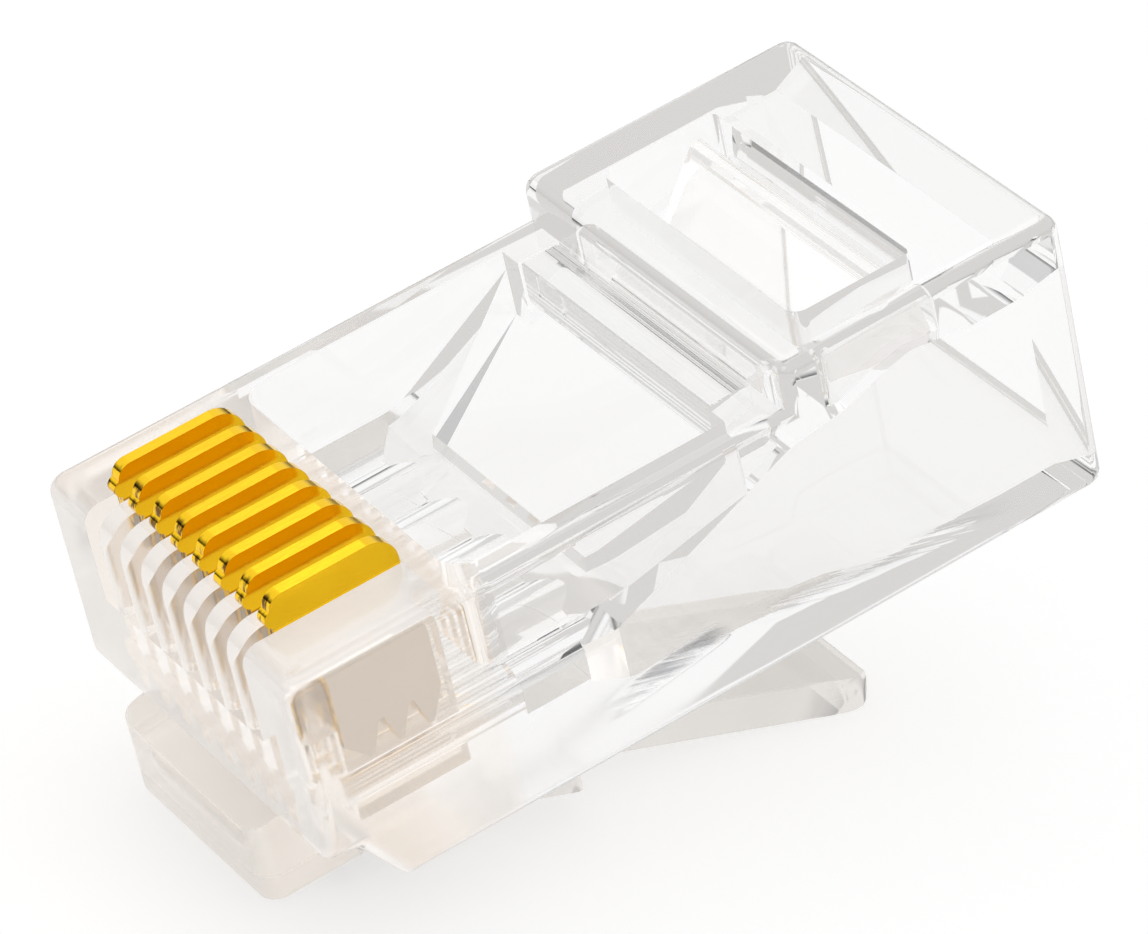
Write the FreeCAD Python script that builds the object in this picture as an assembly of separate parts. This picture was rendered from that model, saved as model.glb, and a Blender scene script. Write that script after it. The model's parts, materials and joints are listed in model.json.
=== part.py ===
import FreeCAD, Part
import math
import os

# Eight-way modular plug for round data cable, unterminated, as it lies on its latch.
# Plug frame while modelling: X runs from the mating nose to the cable end, Y across the
# contacts, Z from the latch side up to the contact side. All sizes are in millimetres.
# At the end every piece is tilted together, so that the plug rests on its latch.

# Housing, outside
plug_length = 22.8
plug_width = 11.68
nose_height = 7.05
rear_height = 8.3
step_x = 14.35
edge_round = 0.42
nose_top_round = 0.5
nose_undercut = [(1.9, 0.0), (0.9, 1.5), (0.0, 1.64)]

# Cable chamber and its mouth. The roof has a low wave under the step, and the floor rises
# towards the conductors.
side_wall = 0.84
floor_z = 1.05
floor_rise_x = 16.0
floor_front_z = 1.9
chamber_roof_z = 6.31
roof_wave = [(20.2, 6.25), (18.2, 6.52, 0.8), (17.3, 6.3, 1.5), (16.1, 5.88, 2.0), (14.5, 5.68, 1.5)]
shelf_under = (8.15, 3.02)
funnel_rear_x = 8.95
mouth_flare_x = 21.6
mouth_flare = 0.45

# Window over the conductors, with the sloped shelves at its sides
window_front_x = 5.26
window_rear_x = 13.1
window_corner_round = 0.7
ledge_z = 4.3
ledge_rear_x = 9.3
shelf_top_rear_z = 6.5
shelf_gap_front_half = 3.3

# Conductor tunnels, the arched channels that lead into them, and contact slots
ways = 8
pitch = 1.02
tunnel_radius = 0.53
tunnel_z = 2.52
tunnel_front_x = 1.2
tunnel_rear_x = 6.3
channel_rear_x = 8.8
channel_roof_z = 3.25
channel_roof_radius = 1.25
slot_width = 0.42
slot_rear_x = 4.64
slot_ledge_x = 1.47
slot_ledge_z = 4.3
slot_floor_z = 1.5
rib_top_round = 0.95

# Contacts
contact_thick = 0.35
contact_top_z = 7.98
contact_front_x = 1.0
contact_rear_x = 4.57
contact_stem_front_x = 1.56
contact_stem_rear_x = 4.38
contact_shoulder_z = 5.85
tine_tip_z = 3.1
tine_root_z = 4.2
tine_pitch = 0.85

# Jacket clamp, a wedge on a thin hinge in the rear pocket
pocket_front_x = 15.88
pocket_rear_x = 19.35
pocket_half = 4.3
pocket_front_corner = 0.4
pocket_rear_corner = 0.15
jacket_hinge = (16.22, 5.98)
jacket_hinge_r = 0.3
jacket_clamp_half = 4.22

# Conductor clamp, a bar held by thin webs in front of the step
bar_front_x = 13.16
bar_rear_x = 14.28
bar_bottom_z = 5.78
bar_half = 4.2

# Latch
root_block_half = 3.25
root_front_x = -0.75
root_bottom_z = -0.97
root_corner_round = 0.55
root_foot_round = 0.33
latch_hinge = (2.3, -0.52)
latch_hinge_r = 0.45
latch_wide_half = 3.05
latch_lever_half = 1.6
latch_shoulder_x = 8.25
latch_tip_x = 17.7

# Play between a moving piece and what carries it
play = 0.04

# Depth of the small flats on which the root block's foot and the latch's tip stand
rest_flat = 0.045

half = plug_width / 2
inner_half = half - side_wall


def vec(x, y, z):
    return FreeCAD.Vector(x, y, z)


def rounded_wire(spots, radii):
    """Closed outline through the spots; a corner with a radius is turned with an arc."""
    count = len(spots)
    edges = []
    starts = []
    ends = []
    arcs = []
    for i in range(count):
        here = spots[i]
        back = (spots[i - 1] - here).normalize()
        ahead = (spots[(i + 1) % count] - here).normalize()
        if radii[i] == 0.0:
            starts.append(here)
            ends.append(here)
            arcs.append(None)
            continue
        angle = back.getAngle(ahead)
        reach = radii[i] / math.tan(angle / 2)
        middle = (back + ahead).normalize()
        centre = here + middle * (radii[i] / math.sin(angle / 2))
        starts.append(here + back * reach)
        ends.append(here + ahead * reach)
        arcs.append(centre - middle * radii[i])
    for i in range(count):
        if arcs[i] is not None:
            edges.append(Part.Arc(starts[i], arcs[i], ends[i]).toShape())
        following = starts[(i + 1) % count]
        if ends[i].distanceToPoint(following) > 1e-6:
            edges.append(Part.LineSegment(ends[i], following).toShape())
    return Part.Wire(edges)


def corner_radii(corners):
    """Third value of each corner, or nought where a corner is left sharp."""
    return [c[2] if len(c) > 2 else 0.0 for c in corners]


def slab(corners, half_width):
    """Outline in the XZ plane, extruded evenly to both sides."""
    spots = [vec(c[0], -half_width, c[1]) for c in corners]
    face = Part.Face(rounded_wire(spots, corner_radii(corners)))
    return face.extrude(vec(0, 2 * half_width, 0))


def plan_block(corners, z_low, z_high):
    """Outline in the XY plane, extruded upwards."""
    spots = [vec(c[0], c[1], z_low) for c in corners]
    face = Part.Face(rounded_wire(spots, corner_radii(corners)))
    return face.extrude(vec(0, 0, z_high - z_low))


def mirrored(corners):
    """Half of a plan outline from the far side, followed by its mirror image in Y."""
    other = [(c[0], -c[1]) + tuple(c[2:]) for c in reversed(corners)]
    return list(corners) + other


def block(x0, x1, y0, y1, z0, z1):
    return Part.makeBox(x1 - x0, y1 - y0, z1 - z0, vec(x0, y0, z0))


def rod_across(centre, radius, half_width):
    """Cylinder along Y about a point given as x and z."""
    return Part.makeCylinder(radius, 2 * half_width, vec(centre[0], -half_width, centre[1]), vec(0, 1, 0))


def round_side_edges(solid, half_width, radius):
    """Rounds the outline edges of a slab on both of its side planes."""
    rims = []
    for edge in solid.Edges:
        bounds = edge.BoundBox
        if abs(abs(bounds.YMin) - half_width) < 1e-4 and bounds.YLength < 1e-4:
            rims.append(edge)
    return solid.makeFillet(radius, rims)


def way_y(index):
    """Y of one contact, counted from the far side."""
    return ((ways - 1) / 2 - index) * pitch


def outer_body():
    """The outside of the moulding: nose, step, raised rear and undercut nose foot."""
    corners = [
        (0.0, nose_height, nose_top_round),
        (step_x, nose_height),
        (step_x, rear_height, 0.45),
        (plug_length, rear_height, 0.5),
        (plug_length, 0.0, 0.45),
        (nose_undercut[0][0], nose_undercut[0][1], 0.3),
        (nose_undercut[1][0], nose_undercut[1][1], 0.2),
        (nose_undercut[2][0], nose_undercut[2][1], 0.15),
    ]
    body = slab(corners, half)
    return round_side_edges(body, half, edge_round)


def cable_chamber():
    """Room for the cable: level at the mouth, closing down to the conductor tunnels."""
    corners = [
        (plug_length + 1, floor_z),
        (plug_length + 1, chamber_roof_z),
        *roof_wave,
        shelf_under,
        (shelf_under[0], floor_front_z),
        (floor_rise_x, floor_z, 6.0),
    ]
    side_view = slab(corners, inner_half)
    tunnel_half = ways * pitch / 2
    plan = [
        (shelf_under[0], tunnel_half),
        (funnel_rear_x, inner_half),
        (plug_length + 1, inner_half),
    ]
    return side_view.common(plan_block(mirrored(plan), 0, rear_height))


def mouth():
    """Flared lead-in at the cable end."""
    def loop(x, grow):
        y = inner_half + grow
        low = floor_z - grow * 0.5
        high = chamber_roof_z + grow
        points = [vec(x, -y, low), vec(x, y, low), vec(x, y, high), vec(x, -y, high)]
        return Part.makePolygon(points + points[:1])

    over = 0.2
    run = plug_length - mouth_flare_x
    wide = mouth_flare * (run + over) / run
    return Part.makeLoft([loop(mouth_flare_x, 0.0), loop(plug_length + over, wide)], True)


def window():
    """Opening in the contact side, over the ledge, the sloped shelves and the gap between them."""
    above = nose_height + 1
    corners = [
        (window_front_x, ledge_z),
        (ledge_rear_x, ledge_z, 2.0),
        (window_rear_x, shelf_top_rear_z),
        (window_rear_x, above),
        (window_front_x, above),
    ]
    room = slab(corners, inner_half)
    front = [e for e in room.Edges if e.BoundBox.XMax < window_front_x + 0.01 and e.BoundBox.ZLength > 1]
    room = room.makeFillet(window_corner_round, front)
    gap = plan_block(mirrored([
        (ledge_rear_x, shelf_gap_front_half),
        (window_rear_x, inner_half),
    ]), shelf_under[1] - 0.3, shelf_top_rear_z + 0.2)
    return room.fuse(gap)


def rod_along(x_front, x_rear, y, z, radius):
    """Cylinder along X."""
    return Part.makeCylinder(radius, x_rear - x_front, vec(x_front, y, z), vec(1, 0, 0))


def tunnels():
    """Eight conductor tunnels side by side, a little wider than their spacing, so that each
    opens into the next along its middle."""
    rods = []
    for index in range(ways):
        rods.append(rod_along(tunnel_front_x, tunnel_rear_x, way_y(index), tunnel_z, tunnel_radius))
    return rods[0].multiFuse(rods[1:])


def channels():
    """Four channels behind the tunnels, one for each pair of conductors, with arched roofs."""
    low = tunnel_z - tunnel_radius
    centre_z = channel_roof_z - channel_roof_radius
    rooms = []
    for index in range(ways // 2):
        y = way_y(2 * index) - pitch / 2
        arch = rod_along(tunnel_rear_x, channel_rear_x, y, centre_z, channel_roof_radius)
        walls = block(tunnel_rear_x, channel_rear_x, y - pitch, y + pitch, low, channel_roof_z + 0.1)
        rooms.append(arch.common(walls))
    return rooms[0].multiFuse(rooms[1:])


def contact_slot(index):
    """Slot for one contact: open to the nose above its ledge, narrower in depth below it."""
    corners = [
        (-1.0, slot_ledge_z),
        (slot_ledge_x, slot_ledge_z),
        (slot_ledge_x, slot_floor_z),
        (slot_rear_x, slot_floor_z),
        (slot_rear_x, nose_height + 1),
        (-1.0, nose_height + 1),
    ]
    cut = slab(corners, slot_width / 2)
    cut.translate(vec(0, way_y(index), 0))
    return cut


def rib_fronts():
    """Material taken off between the slots, so that each rib ends in a half-round front
    and rolls over at the top with a larger radius than the solid sides of the nose."""
    rib = pitch - slot_width
    reach = (ways - 1) / 2 * pitch + slot_width / 2
    sheet = block(-1.0, rib / 2, -reach, reach, slot_ledge_z, nose_height + 1)
    keep = []
    for index in range(ways - 1):
        y = (way_y(index) + way_y(index + 1)) / 2
        keep.append(Part.makeCylinder(rib / 2, nose_height, vec(rib / 2, y, 1.0), vec(0, 0, 1)))
    sheet = sheet.cut(keep[0].multiFuse(keep[1:]))
    low = nose_height - rib_top_round
    corner = block(-1.0, rib_top_round, -reach, reach, low, nose_height + 1)
    roll = rod_across((rib_top_round, low), rib_top_round, reach)
    return sheet.fuse(corner.cut(roll))


def root_block():
    """Block under the nose that carries the latch, rounded at its front corners and foot."""
    rear_x = 2.6
    corners = [
        (root_front_x, 1.45),
        (0.1, 1.62),
        (1.2, 2.0),
        (3.2, 1.0),
        (2.9, 0.0),
        (rear_x, root_bottom_z),
        (root_front_x, root_bottom_z),
    ]
    solid = slab(corners, root_block_half)
    uprights = []
    for edge in solid.Edges:
        bounds = edge.BoundBox
        if bounds.XMax < root_front_x + 0.01 and bounds.ZLength > 1:
            uprights.append(edge)
    solid = solid.makeFillet(root_corner_round, uprights)
    foot = []
    for edge in solid.Edges:
        bounds = edge.BoundBox
        if bounds.ZMax < root_bottom_z + 0.01 and bounds.XMin < rear_x - 0.01:
            foot.append(edge)
    return solid.makeFillet(root_foot_round, foot)


def jacket_pocket():
    """Pocket through the raised rear, down into the cable chamber."""
    hole = block(pocket_front_x, pocket_rear_x, -pocket_half, pocket_half, 5.2, rear_height + 1)
    uprights = [e for e in hole.Edges if e.BoundBox.ZLength > 1]
    front = [e for e in uprights if e.BoundBox.XMax < pocket_front_x + 0.01]
    hole = hole.makeFillet(pocket_front_corner, front)
    uprights = [e for e in hole.Edges if e.BoundBox.ZLength > 1]
    rear = [e for e in uprights if e.BoundBox.XMin > pocket_rear_x - 0.01]
    return hole.makeFillet(pocket_rear_corner, rear)


def bar_gap():
    """Gap across the nose for the conductor clamp, open down into the cable chamber."""
    reach = bar_half + 1.5 * play
    return block(window_rear_x - 0.05, step_x - 0.02, -reach, reach, 4.9, nose_height + 1)


def housing():
    solid = outer_body().fuse(root_block())
    cuts = [cable_chamber(), mouth(), window(), tunnels(), channels(), rib_fronts(), jacket_pocket()]
    cuts.append(bar_gap())
    for index in range(ways):
        cuts.append(contact_slot(index))
    seat = rod_across(latch_hinge, latch_hinge_r + play, root_block_half + 0.5)
    behind = block(latch_hinge[0], 5.0, -root_block_half - 0.5, root_block_half + 0.5, -3.0, 0.0)
    cuts.append(seat)
    cuts.append(behind)
    for cut in cuts:
        solid = solid.cut(cut)
    return solid.removeSplitter()


def latch():
    """Latch arm: wide as far as its locking shoulders, then a narrow thumb lever bent down."""
    hinge_x, hinge_z = latch_hinge
    r = latch_hinge_r
    outline = [
        (hinge_x, hinge_z - r),
        (6.3, -2.02, 3.0),
        (17.1, -6.48, 0.38),
        (latch_tip_x, -5.74, 0.3),
        (15.6, -4.68, 4.0),
        (7.4, -1.25, 3.0),
        (hinge_x, hinge_z + r),
    ]
    arm = slab(outline, latch_wide_half)
    half_plan = [
        (hinge_x - 1, latch_wide_half),
        (latch_shoulder_x, latch_wide_half, 0.3),
        (latch_shoulder_x, latch_lever_half, 0.6),
        (latch_tip_x + 0.02, latch_lever_half, 1.15),
    ]
    arm = arm.common(plan_block(mirrored(half_plan), -9, 3))
    knuckle = rod_across(latch_hinge, r, latch_wide_half)
    return arm.fuse(knuckle).removeSplitter()


def jacket_clamp():
    """Wedge that grips the cable jacket, with tapered ends."""
    hinge_x, hinge_z = jacket_hinge
    r = jacket_hinge_r
    corners = [
        (hinge_x - 0.12, hinge_z + 0.26),
        (18.45, 7.85, 0.08),
        (18.8, 7.85, 0.08),
        (19.12, 6.42, 0.1),
        (17.5, 5.86),
        (hinge_x, hinge_z - r),
    ]
    wedge = slab(corners, jacket_clamp_half).fuse(rod_across(jacket_hinge, r, jacket_clamp_half))
    taper = [
        (hinge_x - 1, jacket_clamp_half - 1.6),
        (18.6, jacket_clamp_half),
        (pocket_rear_x, jacket_clamp_half),
    ]
    return wedge.common(plan_block(mirrored(taper), 4, 9)).removeSplitter()


def conductor_clamp():
    """Bar across the conductors in front of the step, with a rounded rear foot."""
    corners = [
        (bar_front_x, bar_bottom_z, 0.12),
        (bar_front_x, nose_height, 0.08),
        (bar_rear_x, nose_height, 0.08),
        (bar_rear_x, bar_bottom_z, 0.3),
    ]
    return slab(corners, bar_half)


def contact(index):
    """Insulation-piercing contact: rounded head with a small ear, narrower stem, three tines."""
    corners = [
        (contact_front_x, contact_top_z, 0.42),
        (contact_rear_x, contact_top_z, 0.75),
        (contact_rear_x, contact_shoulder_z + 0.3),
        (contact_stem_rear_x, contact_shoulder_z),
        (contact_stem_rear_x, tine_root_z - 0.2),
    ]
    middle = (contact_stem_front_x + contact_stem_rear_x) / 2 + 0.1
    tip_half = 0.07
    for step in (1, 0, -1):
        x = middle + step * tine_pitch
        corners.append((x + tip_half, tine_tip_z))
        corners.append((x - tip_half, tine_tip_z))
        if step > -1:
            corners.append((x - tine_pitch / 2 + 0.02, tine_root_z, 0.1))
    corners += [
        (contact_stem_front_x, tine_root_z - 0.5),
        (contact_stem_front_x, contact_shoulder_z),
        (contact_front_x, contact_shoulder_z),
    ]
    blade = slab(corners, contact_thick / 2)
    ear = rod_across((contact_front_x + 0.07, 7.38), 0.24, contact_thick / 2)
    blade = blade.fuse(ear).removeSplitter()
    blade.translate(vec(0, way_y(index), 0))
    return blade


def low_point(shape, angle):
    """Lowest Z of a shape after it is tilted about Y, tail up."""
    tilted = shape.copy()
    tilted.rotate(vec(0, 0, 0), vec(0, 1, 0), -angle)
    return tilted.optimalBoundingBox(False).ZMin


def rest_angle(front, rear):
    """Tilt at which the root block and the latch tip touch the ground together."""
    low, high = 0.0, 30.0
    for _ in range(24):
        middle = (low + high) / 2
        if low_point(rear, middle) < low_point(front, middle):
            low = middle
        else:
            high = middle
    return round((low + high) / 2, 4)


def lay_down(pieces):
    """Tilts all pieces about Y onto the latch, levels the two places that the plug stands on,
    and centres its footprint over the origin."""
    angle = rest_angle(root_block(), pieces["latch"])
    for shape in pieces.values():
        shape.rotate(vec(0, 0, 0), vec(0, 1, 0), -angle)
    ground = pieces["latch"].optimalBoundingBox(False).ZMin + rest_flat
    reach = 2 * plug_length
    below = block(-reach, reach, -reach, reach, ground - 5, ground)
    for name in ("housing", "latch"):
        pieces[name] = pieces[name].cut(below)
    bounds = FreeCAD.BoundBox()
    for shape in pieces.values():
        bounds.add(shape.optimalBoundingBox(False))
    move = vec(-bounds.Center.x, -bounds.Center.y, -bounds.ZMin)
    for shape in pieces.values():
        shape.translate(move)
    print("rest angle", angle, "move", [round(v, 5) for v in move])
    print("size", [round(v, 3) for v in (bounds.XLength, bounds.YLength, bounds.ZLength)])


def main():
    pieces = {
        "housing": housing(),
        "latch": latch(),
        "jacket_clamp": jacket_clamp(),
        "conductor_clamp": conductor_clamp(),
    }
    for index in range(ways):
        pieces["contact_%d" % (index + 1)] = contact(index)
    lay_down(pieces)
    os.makedirs("parts", exist_ok=True)
    for name, shape in pieces.items():
        print(name, "valid", shape.isValid(), "solids", len(shape.Solids), "volume", round(shape.Volume, 3))
        shape.exportStep("parts/" + name + ".step")


main()
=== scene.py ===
import json
import math

import bpy
from bpy.props import FloatProperty, FloatVectorProperty, PointerProperty
from bpy.types import Operator, Panel, PropertyGroup
from mathutils import Matrix, Vector

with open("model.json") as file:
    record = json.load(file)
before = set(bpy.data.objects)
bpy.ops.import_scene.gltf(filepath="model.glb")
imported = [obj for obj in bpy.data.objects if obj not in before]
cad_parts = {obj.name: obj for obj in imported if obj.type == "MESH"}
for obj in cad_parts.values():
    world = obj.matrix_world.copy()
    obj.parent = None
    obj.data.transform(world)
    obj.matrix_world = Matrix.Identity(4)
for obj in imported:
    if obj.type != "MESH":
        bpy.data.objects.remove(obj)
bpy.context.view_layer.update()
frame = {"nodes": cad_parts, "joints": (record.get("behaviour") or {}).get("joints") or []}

bl_info = {
    "name": "Clear Modular Plug",
    "version": (1, 0, 0),
    "blender": (4, 5, 0),
    "location": "View3D > Sidebar > Plug",
    "description": "Finishes a clear modular plug with gold-plated contacts and sets its studio",
    "category": "Object",
}

CONTACT_NODES = tuple("contact_%d" % number for number in range(1, 9))

MM = 0.001


def joint(name):
    """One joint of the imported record, by its name."""
    return next(entry for entry in frame["joints"] if entry["name"] == name)


# The plug lies tilted on its latch. Its own upright is the line that the conductor clamp slides
# along, and the latch's hinge gives one known point of the body.
UP = -Vector(joint("conductor_clamp_press")["axis"])
ALONG = Vector((UP.z, 0.0, -UP.x))
TILT = math.asin(UP.x)
HINGE = Vector(joint("latch_press")["pos_m"])
HINGE_BEHIND_NOSE = 2.3 * MM
HINGE_UNDER_BODY = 0.52 * MM
NOSE = HINGE - ALONG * HINGE_BEHIND_NOSE + UP * HINGE_UNDER_BODY

# Soft steps between one look of the plastic and another. Each is where the step begins and where
# it is complete, as a distance behind the nose face, a height over the underside or a Y. The first
# pair is measured from the end of the milky length.
MILKY_END = (0.5 * MM, -0.3 * MM)
MILKY_UNDER = (0.1 * MM, -0.6 * MM)
HAZY_BEHIND = (10.5 * MM, 7.0 * MM)
HAZY_HEIGHT = (4.4 * MM, 3.2 * MM)
DULL_FACE = (1.5 * MM, 0.9 * MM)
DULL_BASE_HEIGHT = (0.12 * MM, 0.04 * MM)
DULL_BASE_BEHIND = (12.0 * MM, 9.0 * MM)
DULL_TOP_HEIGHT = (6.9 * MM, 7.0 * MM)
DULL_TOP_BEHIND = (5.2 * MM, 4.7 * MM)
ROOT_BLOCK_HEIGHT = (0.02 * MM, -0.15 * MM)
ROOT_BLOCK_BEHIND = (4.2 * MM, 3.0 * MM)
NEAR_WALL_Y = (-5.7 * MM, -5.8 * MM)

# The two scuffed bands low on the near wall, which also carry a painted dark reflection: height of the
# middle line at the nose, its slope, and the soft steps at both ends. The falling one is fainter.
RISING_SCUFF_AND_REFLECTION = (0.45 * MM, 0.14, (7.8 * MM, 9.0 * MM), (11.9 * MM, 10.9 * MM))
FALLING_SCUFF_AND_REFLECTION = (3.36 * MM, -0.12, (12.0 * MM, 13.5 * MM), (20.5 * MM, 18.5 * MM))
SCUFF_AND_REFLECTION_WIDTH = (0.42 * MM, 0.12 * MM)
FALLING_SHARE = 0.35

# How much of the frosted roughness the nose face, its top and the underside get.
SLIGHT_SHARE = 0.4

# Scales of the noise textures, in cycles to the metre.
RIPPLE_SCALE = 260.0
SCRATCH_SCALE = 4000.0
ROLLING_SCALE = 9000.0
BLOTCH_SCALE = 900.0
BAND_SCALE = 7000.0

# Stretch of a noise texture, so that it draws lines along the plug or up and down.
SCRATCH_STRETCH = (0.05, 1.0, 1.0)
ROLLING_STRETCH = (0.06, 1.0, 1.0)
BAND_STRETCH = (0.3, 1.0, 0.3)

# Levels of noise between which a patch, a scratch or a dark band fades in.
HAZE_LEVELS = (0.45, 0.75)
SCRATCH_LEVELS = (0.36, 0.54)
BAND_LEVELS = (0.47, 0.6)

# Roughness that haze, the place over the tunnels and scuffs add, the scuffs' depth in ripples, and
# the strength of both as bump.
HAZE_ROUGHNESS = 0.015
HAZY_ROUGHNESS = 0.03
SCUFF_ROUGHNESS = 0.03
SCUFF_DEPTH = 40.0
RIPPLE_STRENGTH = 0.6

# Colours of the milky plastic's painted glow, of light straight through and of the painted grey glow
# that ends light paths inside.
BLACK = (0.0, 0.0, 0.0, 1.0)
PAINTED_GLOW_COLOUR = (1.0, 0.975, 0.96, 1.0)
SHADOW_COLOUR = (0.94, 0.935, 0.93, 1.0)
SPENT_PAINTED_GLOW = (0.68, 0.665, 0.65, 1.0)

# Numbers of bounces after which a light path inside the plastic ends.
MIRROR_BOUNCES = 3.5
ALL_BOUNCES = 6.5

# Contacts: tone of the deeper blotches, turn at which a face counts as flat or as a front edge,
# and the rolling lines' roughness and height.
DEEP_TONE = (0.93, 0.86, 0.7)
FLAT_TURN = 0.8
FRONT_TURN = (0.3, 0.75)
LINE_ROUGHNESS = 0.12
LINE_ROUGHNESS_BASE = 0.05
LINE_STRENGTH = 0.35
LINE_HEIGHT = 0.004 * MM

# Rise of the world's low band, as the Z of a direction, the floor and the two lamps.
BAND_RISE = (0.08, 0.42)
WHITE = (1.0, 1.0, 1.0, 1.0)
FLOOR_ROUGHNESS = 0.9
OVERHEAD_PLACE = (-0.05, 0.1, 0.45)
OVERHEAD_SIZE = 0.5
SIDE_PLACE = (-0.35, -0.25, 0.3)
SIDE_SIZE = 0.25
SIDE_SHARE = 0.5
SENSOR_WIDTH = 36.0


class PlugFinish(PropertyGroup):
    """Colours and surfaces of the plug's pieces."""

    clear_tint: FloatVectorProperty(
        name="Clear tint",
        description="Colour that the clear plastic gives to light passing through it",
        subtype="COLOR", size=3, min=0.0, max=1.0, default=(0.948, 0.946, 0.942))
    milky_tint: FloatVectorProperty(
        name="Milky tint",
        description="Colour of the clouded plastic around the contacts",
        subtype="COLOR", size=3, min=0.0, max=1.0, default=(0.785, 0.737, 0.685))
    # Painted shade: the latch's tint is darker than the plastic's own, for the latch's shaded underside,
    # besides its thicker plastic.
    latch_shaded_tint: FloatVectorProperty(
        name="Latch tint",
        description="Colour of the latch's thicker, slightly clouded plastic",
        subtype="COLOR", size=3, min=0.0, max=1.0, default=(0.565, 0.54, 0.505))
    frosted_tint: FloatVectorProperty(
        name="Frosted tint",
        description="Colour of the frosted jacket clamp",
        subtype="COLOR", size=3, min=0.0, max=1.0, default=(0.9, 0.895, 0.89))
    latch_share: FloatProperty(
        name="Latch share",
        description="How much of the latch is clouded at the least",
        subtype="FACTOR", min=0.0, max=1.0, default=0.8)
    frosted_share: FloatProperty(
        name="Frosted share",
        description="How much of the jacket clamp is clouded at the least",
        subtype="FACTOR", min=0.0, max=1.0, default=0.6)
    clear_roughness: FloatProperty(
        name="Clear roughness",
        description="Roughness of the polished plastic",
        subtype="FACTOR", min=0.0, max=1.0, default=0.02)
    milky_roughness: FloatProperty(
        name="Milky roughness",
        description="Roughness of the clouded plastic around the contacts",
        subtype="FACTOR", min=0.0, max=1.0, default=0.05)
    frosted_roughness: FloatProperty(
        name="Frosted roughness",
        description="Roughness of the dulled block that the latch grows from. The nose face gets part of it",
        subtype="FACTOR", min=0.0, max=1.0, default=0.3)
    # Painted dark reflection: a dark colour in the scuffed bands, for the dark surroundings mirrored in the
    # bottom edge.
    dark_reflection_tint: FloatVectorProperty(
        name="Scuff tint",
        description="Colour of the dark scuffs low on the near wall",
        subtype="COLOR", size=3, min=0.0, max=1.0, default=(0.26, 0.265, 0.28))
    # Painted glow: the clouded and dulled plastic emits a faint light of its own, whatever the lamps do, in
    # place of light it would scatter back.
    milky_painted_glow: FloatProperty(
        name="Milky glow",
        description="Light that the clouded plastic scatters back from all round",
        subtype="FACTOR", min=0.0, max=1.0, default=0.07)
    refraction: FloatProperty(
        name="Refraction index",
        description="How strongly the plastic bends light",
        min=1.0, max=2.0, default=1.58)
    milky_length: FloatProperty(
        name="Milky length",
        description="Length of the clouded part, from the nose face backwards",
        subtype="DISTANCE", unit="LENGTH", min=0.0, max=0.02, precision=5, default=5.2 * MM)
    flow_ripple: FloatProperty(
        name="Flow ripple",
        description="Height of the faint ripple that moulding leaves on the walls",
        subtype="DISTANCE", unit="LENGTH", min=0.0, max=0.0001, precision=6, default=0.000006)
    gold_colour: FloatVectorProperty(
        name="Gold colour",
        description="Colour of the plating on the contacts",
        subtype="COLOR", size=3, min=0.0, max=1.0, default=(0.99, 0.64, 0.02))
    bare_colour: FloatVectorProperty(
        name="Bare metal colour",
        description="Colour of the unplated faces of the contacts, inside the plastic",
        subtype="COLOR", size=3, min=0.0, max=1.0, default=(0.68, 0.645, 0.595))
    plated_height: FloatProperty(
        name="Plated height",
        description="Height over the underside from which the contacts' flat faces are gold",
        subtype="DISTANCE", unit="LENGTH", min=0.0, max=0.01, precision=5, default=6.68 * MM)
    gold_roughness: FloatProperty(
        name="Gold roughness",
        description="Roughness of the plating where it isn't scratched",
        subtype="FACTOR", min=0.0, max=1.0, default=0.13)
    # Painted shade: a dark colour on the contacts' front-facing edges, for the dark surroundings they
    # mirror.
    edge_shade: FloatVectorProperty(
        name="Edge shade",
        description="Colour of the dark streaks on the contacts' stamped front edges",
        subtype="COLOR", size=3, min=0.0, max=1.0, default=(0.16, 0.075, 0.01))


class PlugStudio(PropertyGroup):
    """Floor, light and camera."""

    floor_size: FloatProperty(
        name="Floor size",
        description="Width and depth of the floor",
        subtype="DISTANCE", unit="LENGTH", min=0.1, default=3.0)
    floor_colour: FloatVectorProperty(
        name="Floor colour",
        description="Colour of the floor in plain light",
        subtype="COLOR", size=3, min=0.0, max=1.0, default=(0.93, 0.93, 0.93))
    lamp_power: FloatProperty(
        name="Lamp power",
        description="Power of the large lamp overhead",
        subtype="POWER", unit="POWER", min=0.0, default=0.6)
    world_level: FloatProperty(
        name="World level",
        description="Strength of the plain light from all round",
        min=0.0, default=0.55)
    horizon_grey: FloatProperty(
        name="Horizon grey",
        description="Level of the low band that gives clear edges their contrast",
        subtype="FACTOR", min=0.0, max=1.0, default=0.2)
    mirror_dark: FloatProperty(
        name="Mirror dark",
        description="Level of the same band where metal and polished faces mirror it",
        subtype="FACTOR", min=0.0, max=1.0, default=0.02)
    floor_white: FloatProperty(
        name="Floor white",
        description="Light that lifts the floor towards white where it is seen or mirrored",
        subtype="FACTOR", min=0.0, max=1.0, default=0.38)
    azimuth: FloatProperty(
        name="Azimuth",
        description="Direction of the camera round the plug, from straight in front of its side",
        subtype="ANGLE", unit="ROTATION", default=math.radians(-34.846))
    elevation: FloatProperty(
        name="Elevation",
        description="Height of the camera over the floor, as an angle",
        subtype="ANGLE", unit="ROTATION", default=math.radians(27.882))
    roll: FloatProperty(
        name="Roll",
        description="Turn of the camera about its own line of sight",
        subtype="ANGLE", unit="ROTATION", default=math.radians(4.601))
    distance: FloatProperty(
        name="Distance",
        description="Distance of the camera from the point it looks at",
        subtype="DISTANCE", unit="LENGTH", min=0.01, default=0.16852)
    lens: FloatProperty(
        name="Lens",
        description="Focal length of the camera, for a sensor 36 mm wide",
        subtype="DISTANCE_CAMERA", unit="CAMERA", min=10.0, default=217.31)
    target: FloatVectorProperty(
        name="Target",
        description="Point that the middle of the picture looks at",
        subtype="XYZ", unit="LENGTH", size=3, precision=5,
        default=(-0.0011927, -0.001414, 0.0090723))


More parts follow.
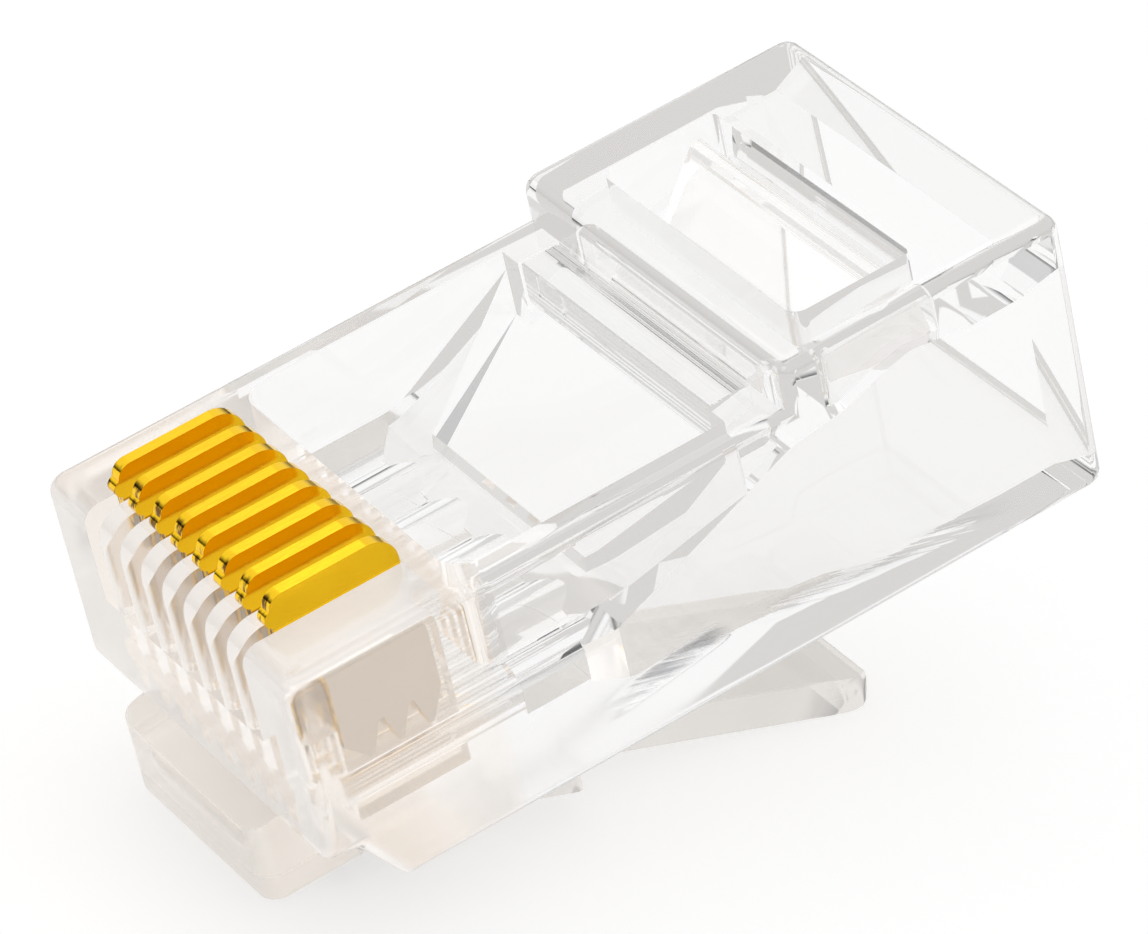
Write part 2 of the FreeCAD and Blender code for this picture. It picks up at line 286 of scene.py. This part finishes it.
def new_group(name, inputs, outputs):
    """Empty shader node group with the given sockets, each as name, kind and default."""
    group = bpy.data.node_groups.new(name, "ShaderNodeTree")
    for title, kind, value in inputs:
        socket = group.interface.new_socket(name=title, in_out="INPUT", socket_type=kind)
        socket.default_value = value
    for title, kind in outputs:
        group.interface.new_socket(name=title, in_out="OUTPUT", socket_type=kind)
    entry = group.nodes.new("NodeGroupInput")
    leave = group.nodes.new("NodeGroupOutput")
    return group, entry, leave


def noise(nodes, links, vector, scale, detail):
    """Noise texture of a given scale, in cycles to the metre."""
    node = nodes.new("ShaderNodeTexNoise")
    node.inputs["Scale"].default_value = scale
    node.inputs["Detail"].default_value = detail
    links.new(vector, node.inputs["Vector"])
    return node.outputs["Fac"]


def stretched(nodes, links, place, stretch, turn):
    """Coordinates stretched and turned, for noise that draws lines."""
    node = nodes.new("ShaderNodeMapping")
    node.inputs["Scale"].default_value = stretch
    node.inputs["Rotation"].default_value = (0.0, turn, 0.0)
    links.new(place, node.inputs["Vector"])
    return node.outputs["Vector"]


def math_node(nodes, links, operation, first, second=0.0):
    """Math node whose two inputs are sockets or numbers."""
    node = nodes.new("ShaderNodeMath")
    node.operation = operation
    for slot, value in zip(node.inputs, (first, second)):
        if isinstance(value, (int, float)):
            slot.default_value = value
        else:
            links.new(value, slot)
    return node.outputs[0]


def moulding_flow():
    """Node group: ripple height and patches of haze, as moulding leaves them."""
    name = "Moulding flow"
    if name in bpy.data.node_groups:
        return bpy.data.node_groups[name]
    group, entry, leave = new_group(
        name,
        [("Vector", "NodeSocketVector", (0, 0, 0)),
         ("Ripple scale", "NodeSocketFloat", RIPPLE_SCALE)],
        [("Height", "NodeSocketFloat"), ("Haze", "NodeSocketFloat")])
    nodes, links = group.nodes, group.links
    slow = nodes.new("ShaderNodeTexNoise")
    slow.inputs["Detail"].default_value = 1.0
    links.new(entry.outputs["Vector"], slow.inputs["Vector"])
    links.new(entry.outputs["Ripple scale"], slow.inputs["Scale"])
    links.new(slow.outputs["Fac"], leave.inputs["Height"])
    haze = nodes.new("ShaderNodeMapRange")
    haze.inputs["From Min"].default_value = HAZE_LEVELS[0]
    haze.inputs["From Max"].default_value = HAZE_LEVELS[1]
    links.new(slow.outputs["Fac"], haze.inputs["Value"])
    links.new(haze.outputs["Result"], leave.inputs["Haze"])
    return group


def along_plug():
    """Node group: distance behind the nose face and height over the underside, in metres."""
    name = "Along the plug"
    if name in bpy.data.node_groups:
        return bpy.data.node_groups[name]
    group, entry, leave = new_group(
        name,
        [("Vector", "NodeSocketVector", (0, 0, 0))],
        [("Behind nose", "NodeSocketFloat"), ("Height", "NodeSocketFloat")])
    nodes, links = group.nodes, group.links
    from_nose = nodes.new("ShaderNodeVectorMath")
    from_nose.operation = "SUBTRACT"
    from_nose.inputs[1].default_value = NOSE
    links.new(entry.outputs["Vector"], from_nose.inputs[0])
    for axis, title in ((ALONG, "Behind nose"), (UP, "Height")):
        dot = nodes.new("ShaderNodeVectorMath")
        dot.operation = "DOT_PRODUCT"
        dot.inputs[1].default_value = axis
        links.new(from_nose.outputs["Vector"], dot.inputs[0])
        links.new(dot.outputs["Value"], leave.inputs[title])
    return group


def group_node(material, group, vector):
    """Places a node group in a material and feeds it the object's own coordinates."""
    node = material.node_tree.nodes.new("ShaderNodeGroup")
    node.node_tree = group
    material.node_tree.links.new(vector, node.inputs["Vector"])
    return node


def new_material(name):
    """Material with a plain shader, an output and the object's own coordinates. Its faint glow is
    not sampled as a lamp, which would only slow the render."""
    material = bpy.data.materials.new(name)
    material.use_nodes = True
    material.cycles.emission_sampling = "NONE"
    nodes = material.node_tree.nodes
    shader = nodes["Principled BSDF"]
    place = nodes.new("ShaderNodeTexCoord").outputs["Object"]
    return material, nodes, material.node_tree.links, shader, place


def blend(nodes, links, kind, factor, first, second):
    """Mix of two values or colours, each a socket or plain, by a factor socket."""
    node = nodes.new("ShaderNodeMix")
    node.data_type = kind
    for title, value in (("A", first), ("B", second)):
        if isinstance(value, bpy.types.NodeSocket):
            links.new(value, node.inputs[title])
        else:
            node.inputs[title].default_value = value
    links.new(factor, node.inputs["Factor"])
    return node.outputs["Result"]


def ramp(nodes, links, value, start, end):
    """Smooth step from nought at start to one at end."""
    node = nodes.new("ShaderNodeMapRange")
    node.interpolation_type = "SMOOTHSTEP"
    node.inputs["From Min"].default_value = start
    node.inputs["From Max"].default_value = end
    links.new(value, node.inputs["Value"])
    return node.outputs["Result"]


def both(nodes, links, first, second):
    """Product of two masks: where both hold."""
    return math_node(nodes, links, "MULTIPLY", first, second)


def either(nodes, links, first, second):
    """Larger of two masks: where one of them holds."""
    return math_node(nodes, links, "MAXIMUM", first, second)


def scuff_and_reflection_band(nodes, links, behind, height, level, slope, starts, ends):
    """Mask of a band along a wall. Its middle has a height at the nose and a slope backwards."""
    climb = math_node(nodes, links, "MULTIPLY", behind, slope)
    middle = math_node(nodes, links, "ADD", climb, level)
    above = math_node(nodes, links, "SUBTRACT", height, middle)
    off = math_node(nodes, links, "ABSOLUTE", above)
    run = both(
        nodes, links, ramp(nodes, links, behind, *starts), ramp(nodes, links, behind, *ends))
    return both(nodes, links, run, ramp(nodes, links, off, *SCUFF_AND_REFLECTION_WIDTH))


def clouded_places():
    """Node group of masks: the milky nose and underside, the haze over the tunnels, the dulled
    nose, underside and root block, and the scuffed bands low on the near wall, which also carry a painted
    dark reflection."""
    name = "Clouded places"
    if name in bpy.data.node_groups:
        return bpy.data.node_groups[name]
    finish = bpy.context.scene.plug_finish
    group, entry, leave = new_group(
        name,
        [("Vector", "NodeSocketVector", (0, 0, 0))],
        [("Milky", "NodeSocketFloat"), ("Hazy", "NodeSocketFloat"),
         ("Dulled", "NodeSocketFloat"), ("Scuffed and dark reflection", "NodeSocketFloat")])
    nodes, links = group.nodes, group.links
    where = nodes.new("ShaderNodeGroup")
    where.node_tree = along_plug()
    links.new(entry.outputs["Vector"], where.inputs["Vector"])
    behind, height = where.outputs["Behind nose"], where.outputs["Height"]

    def box(height_step, behind_step):
        """Mask within a step in height and a step behind the nose."""
        return both(
            nodes, links,
            ramp(nodes, links, height, *height_step), ramp(nodes, links, behind, *behind_step))

    end = finish.milky_length
    nose = ramp(nodes, links, behind, end + MILKY_END[0], end + MILKY_END[1])
    under = ramp(nodes, links, height, *MILKY_UNDER)
    links.new(either(nodes, links, nose, under), leave.inputs["Milky"])
    links.new(box(HAZY_HEIGHT, HAZY_BEHIND), leave.inputs["Hazy"])

    face = ramp(nodes, links, behind, *DULL_FACE)
    base = box(DULL_BASE_HEIGHT, DULL_BASE_BEHIND)
    top = box(DULL_TOP_HEIGHT, DULL_TOP_BEHIND)
    slight = either(nodes, links, either(nodes, links, face, base), top)
    slight = math_node(nodes, links, "MULTIPLY", slight, SLIGHT_SHARE)
    block = box(ROOT_BLOCK_HEIGHT, ROOT_BLOCK_BEHIND)
    links.new(either(nodes, links, slight, block), leave.inputs["Dulled"])

    split = nodes.new("ShaderNodeSeparateXYZ")
    links.new(entry.outputs["Vector"], split.inputs["Vector"])
    near = ramp(nodes, links, split.outputs["Y"], *NEAR_WALL_Y)
    rising = scuff_and_reflection_band(nodes, links, behind, height, *RISING_SCUFF_AND_REFLECTION)
    falling = scuff_and_reflection_band(nodes, links, behind, height, *FALLING_SCUFF_AND_REFLECTION)
    falling = math_node(nodes, links, "MULTIPLY", falling, FALLING_SHARE)
    bands = either(nodes, links, rising, falling)
    links.new(both(nodes, links, near, bands), leave.inputs["Scuffed and dark reflection"])
    return group


def light_paths(nodes, links, surface):
    """Surface that lets light straight through in shadows and ends light paths of many bounces on an even
    pale grey glow, a painted light in place of what they would still gather."""
    path = nodes.new("ShaderNodeLightPath")
    passing = either(nodes, links, path.outputs["Is Shadow Ray"], path.outputs["Is Diffuse Ray"])
    see_through = nodes.new("ShaderNodeBsdfTransparent")
    see_through.inputs["Color"].default_value = SHADOW_COLOUR
    mix = nodes.new("ShaderNodeMixShader")
    links.new(passing, mix.inputs["Fac"])
    links.new(surface, mix.inputs[1])
    links.new(see_through.outputs["BSDF"], mix.inputs[2])
    spent = nodes.new("ShaderNodeEmission")
    spent.inputs["Color"].default_value = SPENT_PAINTED_GLOW
    mirrored = math_node(
        nodes, links, "GREATER_THAN", path.outputs["Glossy Depth"], MIRROR_BOUNCES)
    long_path = math_node(nodes, links, "GREATER_THAN", path.outputs["Ray Depth"], ALL_BOUNCES)
    last = nodes.new("ShaderNodeMixShader")
    links.new(either(nodes, links, long_path, mirrored), last.inputs["Fac"])
    links.new(mix.outputs["Shader"], last.inputs[1])
    links.new(spent.outputs["Emission"], last.inputs[2])
    return last.outputs["Shader"]


def clear_plastic(name, cloudy_tint, cloudy_share):
    """Moulded plastic whose shadow lets light through. It is clear with a milky nose, or clouded
    all over where a share is given."""
    finish = bpy.context.scene.plug_finish
    material, nodes, links, shader, place = new_material(name)
    shader.inputs["Transmission Weight"].default_value = 1.0
    shader.inputs["IOR"].default_value = finish.refraction
    shader.inputs["Metallic"].default_value = 0.0
    shader.inputs["Emission Strength"].default_value = finish.milky_painted_glow

    flow = group_node(material, moulding_flow(), place)
    spots = group_node(material, clouded_places(), place)
    milky, scuff_and_reflection = spots.outputs["Milky"], spots.outputs["Scuffed and dark reflection"]
    if cloudy_share:
        patches = math_node(nodes, links, "MULTIPLY", flow.outputs["Haze"], 1.0 - cloudy_share)
        milky = math_node(nodes, links, "ADD", patches, cloudy_share)
    lines = stretched(nodes, links, place, SCRATCH_STRETCH, TILT)
    scratches = noise(nodes, links, lines, SCRATCH_SCALE, 3.0)

    tint = blend(nodes, links, "RGBA", milky, (*finish.clear_tint, 1.0), (*cloudy_tint, 1.0))
    # Painted dark reflection: the scuffed bands take a dark colour where the scratches run, for the dark
    # surroundings the bottom edge mirrors.
    dark = both(nodes, links, scuff_and_reflection, ramp(nodes, links, scratches, *SCRATCH_LEVELS))
    colour = blend(nodes, links, "RGBA", dark, tint, (*finish.dark_reflection_tint, 1.0))
    links.new(colour, shader.inputs["Base Color"])
    # Painted glow on the milky and dulled places, the same under any lamp.
    painted_glow_places = math_node(nodes, links, "ADD", milky, spots.outputs["Dulled"])
    glow = blend(nodes, links, "RGBA", painted_glow_places, BLACK, PAINTED_GLOW_COLOUR)
    links.new(glow, shader.inputs["Emission Color"])

    rough = blend(nodes, links, "FLOAT", milky, finish.clear_roughness, finish.milky_roughness)
    for source, amount in (
            (flow.outputs["Haze"], HAZE_ROUGHNESS),
            (spots.outputs["Hazy"], HAZY_ROUGHNESS),
            (scuff_and_reflection, SCUFF_ROUGHNESS),
            (spots.outputs["Dulled"], finish.frosted_roughness)):
        part = math_node(nodes, links, "MULTIPLY", source, amount)
        rough = math_node(nodes, links, "ADD", rough, part)
    links.new(rough, shader.inputs["Roughness"])

    scuffs = both(nodes, links, scratches, scuff_and_reflection)
    scuffs = math_node(nodes, links, "MULTIPLY", scuffs, SCUFF_DEPTH)
    bump = nodes.new("ShaderNodeBump")
    bump.inputs["Strength"].default_value = RIPPLE_STRENGTH
    bump.inputs["Distance"].default_value = finish.flow_ripple
    ripple = math_node(nodes, links, "ADD", flow.outputs["Height"], scuffs)
    links.new(ripple, bump.inputs["Height"])
    links.new(bump.outputs["Normal"], shader.inputs["Normal"])

    surface = light_paths(nodes, links, shader.outputs["BSDF"])
    links.new(surface, nodes["Material Output"].inputs["Surface"])
    return material


def gold_plate():
    """Plated metal with fine rolling lines along each contact, painted dark reflection streaks on the front
    edges and bare metal on the flat faces inside the plastic."""
    finish = bpy.context.scene.plug_finish
    material, nodes, links, shader, place = new_material("gold plate")
    shader.inputs["Metallic"].default_value = 1.0

    along = stretched(nodes, links, place, ROLLING_STRETCH, TILT)
    lines = noise(nodes, links, along, ROLLING_SCALE, 3.0)
    blotches = noise(nodes, links, place, BLOTCH_SCALE, 2.0)
    deep = tuple(value * shade for value, shade in zip(finish.gold_colour, DEEP_TONE))
    gold = blend(nodes, links, "RGBA", blotches, (*finish.gold_colour, 1.0), (*deep, 1.0))

    facing = nodes.new("ShaderNodeTexCoord").outputs["Normal"]
    ahead = nodes.new("ShaderNodeVectorMath")
    ahead.operation = "DOT_PRODUCT"
    links.new(facing, ahead.inputs[0])
    ahead.inputs[1].default_value = -ALONG
    front = ramp(nodes, links, ahead.outputs["Value"], *FRONT_TURN)
    upright = stretched(nodes, links, place, BAND_STRETCH, 0.0)
    bands = ramp(nodes, links, noise(nodes, links, upright, BAND_SCALE, 2.0), *BAND_LEVELS)
    # Painted reflection: faces turned to the front get dark streaks in their colour.
    streaks = both(nodes, links, front, bands)
    edge_shaded = blend(nodes, links, "RGBA", streaks, gold, (*finish.edge_shade, 1.0))

    where = group_node(material, along_plug(), place)
    sunk = math_node(nodes, links, "LESS_THAN", where.outputs["Height"], finish.plated_height)
    faces = nodes.new("ShaderNodeSeparateXYZ")
    links.new(facing, faces.inputs["Vector"])
    sideways = math_node(nodes, links, "ABSOLUTE", faces.outputs["Y"])
    flat = math_node(nodes, links, "GREATER_THAN", sideways, FLAT_TURN)
    bare = both(nodes, links, sunk, flat)
    plating = blend(nodes, links, "RGBA", bare, edge_shaded, (*finish.bare_colour, 1.0))
    links.new(plating, shader.inputs["Base Color"])

    spread = math_node(nodes, links, "MULTIPLY", lines, LINE_ROUGHNESS)
    rough = math_node(nodes, links, "ADD", spread, finish.gold_roughness - LINE_ROUGHNESS_BASE)
    links.new(rough, shader.inputs["Roughness"])

    bump = nodes.new("ShaderNodeBump")
    bump.inputs["Strength"].default_value = LINE_STRENGTH
    bump.inputs["Distance"].default_value = LINE_HEIGHT
    links.new(lines, bump.inputs["Height"])
    links.new(bump.outputs["Normal"], shader.inputs["Normal"])
    return material


def dress(names, material):
    """Gives a material to every slot of the named CAD nodes."""
    for name in names:
        node = frame["nodes"][name]
        if not node.material_slots:
            raise RuntimeError("no material slot on " + name)
        for slot in node.material_slots:
            slot.material = material


class PLUG_OT_clear_pieces(Operator):
    """Finish the housing, the latch and both clamps as clear plastic"""

    bl_idname = "plug.clear_pieces"
    bl_label = "Clear Pieces"

    def execute(self, context):
        finish = context.scene.plug_finish
        for nodes, name, tint, share in (
                (("housing", "conductor_clamp"), "clear plastic", finish.milky_tint, 0.0),
                (("latch",), "latch plastic", finish.latch_shaded_tint, finish.latch_share),
                (("jacket_clamp",), "frosted plastic", finish.frosted_tint, finish.frosted_share)):
            dress(nodes, clear_plastic(name, tint, share))
        return {"FINISHED"}


class PLUG_OT_contacts(Operator):
    """Finish the contacts as gold plate"""

    bl_idname = "plug.contacts"
    bl_label = "Contacts"

    def execute(self, context):
        dress(CONTACT_NODES, gold_plate())
        return {"FINISHED"}


def floor_material():
    """Pale floor that shows white to the camera and through the plastic, under its own shadow."""
    studio = bpy.context.scene.plug_studio
    material, nodes, links, shader, _ = new_material("pale floor")
    shader.inputs["Base Color"].default_value = (*studio.floor_colour, 1.0)
    shader.inputs["Roughness"].default_value = FLOOR_ROUGHNESS
    shader.inputs["Specular IOR Level"].default_value = 0.0
    path = nodes.new("ShaderNodeLightPath")
    seen = either(nodes, links, path.outputs["Is Camera Ray"], path.outputs["Is Glossy Ray"])
    seen = either(nodes, links, seen, path.outputs["Is Transmission Ray"])
    glow = nodes.new("ShaderNodeEmission")
    lift = math_node(nodes, links, "MULTIPLY", seen, studio.floor_white)
    links.new(lift, glow.inputs["Strength"])
    add = nodes.new("ShaderNodeAddShader")
    links.new(shader.outputs["BSDF"], add.inputs[0])
    links.new(glow.outputs["Emission"], add.inputs[1])
    links.new(add.outputs["Shader"], nodes["Material Output"].inputs["Surface"])
    return material


def studio_world():
    """White to the camera, plain light on surfaces, and a low grey band in glossy and clear ones."""
    studio = bpy.context.scene.plug_studio
    world = bpy.data.worlds.new("studio")
    world.use_nodes = True
    bpy.context.scene.world = world
    nodes, links = world.node_tree.nodes, world.node_tree.links
    direction = nodes.new("ShaderNodeTexCoord").outputs["Generated"]
    split = nodes.new("ShaderNodeSeparateXYZ")
    links.new(direction, split.inputs["Vector"])
    path = nodes.new("ShaderNodeLightPath")
    glossy = path.outputs["Is Glossy Ray"]
    low = blend(nodes, links, "FLOAT", glossy, studio.horizon_grey, studio.mirror_dark)
    band = nodes.new("ShaderNodeMapRange")
    band.inputs["From Min"].default_value = BAND_RISE[0]
    band.inputs["From Max"].default_value = BAND_RISE[1]
    links.new(split.outputs["Z"], band.inputs["Value"])
    links.new(low, band.inputs["To Min"])
    mirror = either(nodes, links, glossy, path.outputs["Is Transmission Ray"])
    plain = nodes.new("ShaderNodeBackground")
    plain.inputs["Strength"].default_value = studio.world_level
    soft = nodes.new("ShaderNodeBackground")
    soft.inputs["Color"].default_value = WHITE
    links.new(band.outputs["Result"], soft.inputs["Strength"])
    white = nodes.new("ShaderNodeBackground")
    white.inputs["Color"].default_value = WHITE
    first = nodes.new("ShaderNodeMixShader")
    links.new(mirror, first.inputs["Fac"])
    links.new(plain.outputs["Background"], first.inputs[1])
    links.new(soft.outputs["Background"], first.inputs[2])
    second = nodes.new("ShaderNodeMixShader")
    links.new(path.outputs["Is Camera Ray"], second.inputs["Fac"])
    links.new(first.outputs["Shader"], second.inputs[1])
    links.new(white.outputs["Background"], second.inputs[2])
    links.new(second.outputs["Shader"], nodes["World Output"].inputs["Surface"])


def area_lamp(name, place, size, power):
    """Square lamp aimed at the plug, and left out of what shows through the plastic."""
    bpy.ops.object.light_add(type="AREA", location=place)
    lamp = bpy.context.active_object
    lamp.name = name
    lamp.data.shape = "SQUARE"
    lamp.data.size = size
    lamp.data.energy = power
    lamp.visible_transmission = False
    lamp.rotation_euler = Vector(place).to_track_quat("Z", "Y").to_euler()


def place_camera():
    """Camera at the photograph's angle, turned a little about its own line of sight."""
    studio = bpy.context.scene.plug_studio
    az, el, roll = studio.azimuth, studio.elevation, studio.roll
    back = Vector((math.sin(az) * math.cos(el), -math.cos(az) * math.cos(el), math.sin(el)))
    right = (-back).cross(Vector((0.0, 0.0, 1.0))).normalized()
    up = right.cross(-back)
    across = right * math.cos(roll) + up * math.sin(roll)
    upright = up * math.cos(roll) - right * math.sin(roll)
    spot = Vector(studio.target) + back * studio.distance
    bpy.ops.object.camera_add(location=spot)
    camera = bpy.context.active_object
    turn = Matrix((across, upright, back)).transposed()
    camera.rotation_euler = turn.to_euler()
    camera.data.lens = studio.lens
    camera.data.sensor_width = SENSOR_WIDTH
    camera.data.clip_start = 0.01
    camera.data.clip_end = 20.0
    bpy.context.scene.camera = camera


class PLUG_OT_studio(Operator):
    """Lay the pale floor, set the soft light and place the camera"""

    bl_idname = "plug.studio"
    bl_label = "Studio"

    def execute(self, context):
        studio = context.scene.plug_studio
        bpy.ops.mesh.primitive_plane_add(size=studio.floor_size, location=(0.0, 0.0, 0.0))
        floor = context.active_object
        floor.name = "floor"
        floor.data.materials.append(floor_material())
        studio_world()
        area_lamp("overhead lamp", OVERHEAD_PLACE, OVERHEAD_SIZE, studio.lamp_power)
        area_lamp("side lamp", SIDE_PLACE, SIDE_SIZE, studio.lamp_power * SIDE_SHARE)
        place_camera()
        context.scene.view_settings.view_transform = "Standard"
        return {"FINISHED"}


class PLUG_PT_panel(Panel):
    """Sidebar panel that shows the plug's finish and studio settings and its operators"""

    bl_idname = "PLUG_PT_panel"
    bl_label = "Modular Plug"
    bl_space_type = "VIEW_3D"
    bl_region_type = "UI"
    bl_category = "Plug"

    def draw(self, context):
        for settings in (context.scene.plug_finish, context.scene.plug_studio):
            column = self.layout.column(align=True)
            for name in settings.__annotations__:
                column.prop(settings, name)
        for operator in OPERATORS:
            self.layout.operator(operator.bl_idname)


OPERATORS = (PLUG_OT_clear_pieces, PLUG_OT_contacts, PLUG_OT_studio)
CLASSES = (PlugFinish, PlugStudio) + OPERATORS + (PLUG_PT_panel,)


def register():
    for entry in CLASSES:
        bpy.utils.register_class(entry)
    bpy.types.Scene.plug_finish = PointerProperty(type=PlugFinish)
    bpy.types.Scene.plug_studio = PointerProperty(type=PlugStudio)


def unregister():
    del bpy.types.Scene.plug_studio
    del bpy.types.Scene.plug_finish
    for entry in reversed(CLASSES):
        bpy.utils.unregister_class(entry)


def main():
    register()
    bpy.ops.object.select_all(action="DESELECT")
    bpy.ops.plug.clear_pieces()
    bpy.ops.plug.contacts()
    bpy.ops.plug.studio()


if __name__ == "__main__":
    main()
